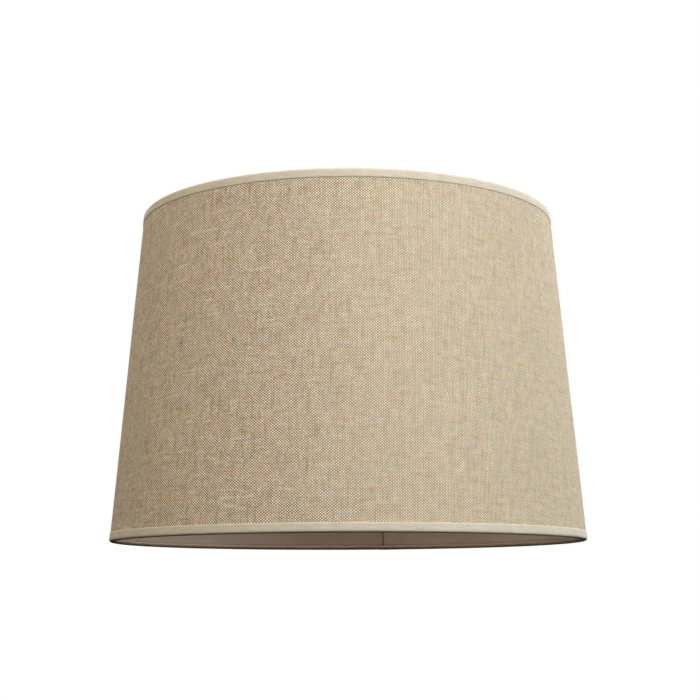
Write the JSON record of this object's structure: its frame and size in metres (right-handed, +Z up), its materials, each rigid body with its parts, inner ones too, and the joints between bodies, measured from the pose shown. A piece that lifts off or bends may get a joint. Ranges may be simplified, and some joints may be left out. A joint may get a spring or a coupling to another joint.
{
  "type": "lamp shade",
  "caption": "Tapered drum lamp shade of woven fabric on a stiff liner, with taped rims and a three-armed washer spider for a harp.",
  "frame": {"origin": "centre of the circle that the shade rests on, at the foot of the bottom trim", "axes": "+Z up along the shade's axis; the seam is at the back, near +Y; -Y is the front"},
  "size_m": [0.4069, 0.407, 0.282],
  "materials": {
    "fabric": "plain heathered weave, cream and khaki",
    "liner": "matt off-white styrene",
    "trim": "fine plain tape, cream",
    "glue": "clear double-sided tape",
    "ring_wire": "white powder coat",
    "spider": "nickel plated, satin"
  },
  "bodies": {
    "root": {"liner_panel": "liner", "fabric_cover": "fabric", "seam_glue_tape": "glue", "top_trim": "trim", "bottom_trim": "trim", "top_ring": "ring_wire", "bottom_ring": "ring_wire", "hub_washer": "spider", "spider_arm_1": "spider", "spider_arm_2": "spider", "spider_arm_3": "spider"}
  },
  "joints": []
}
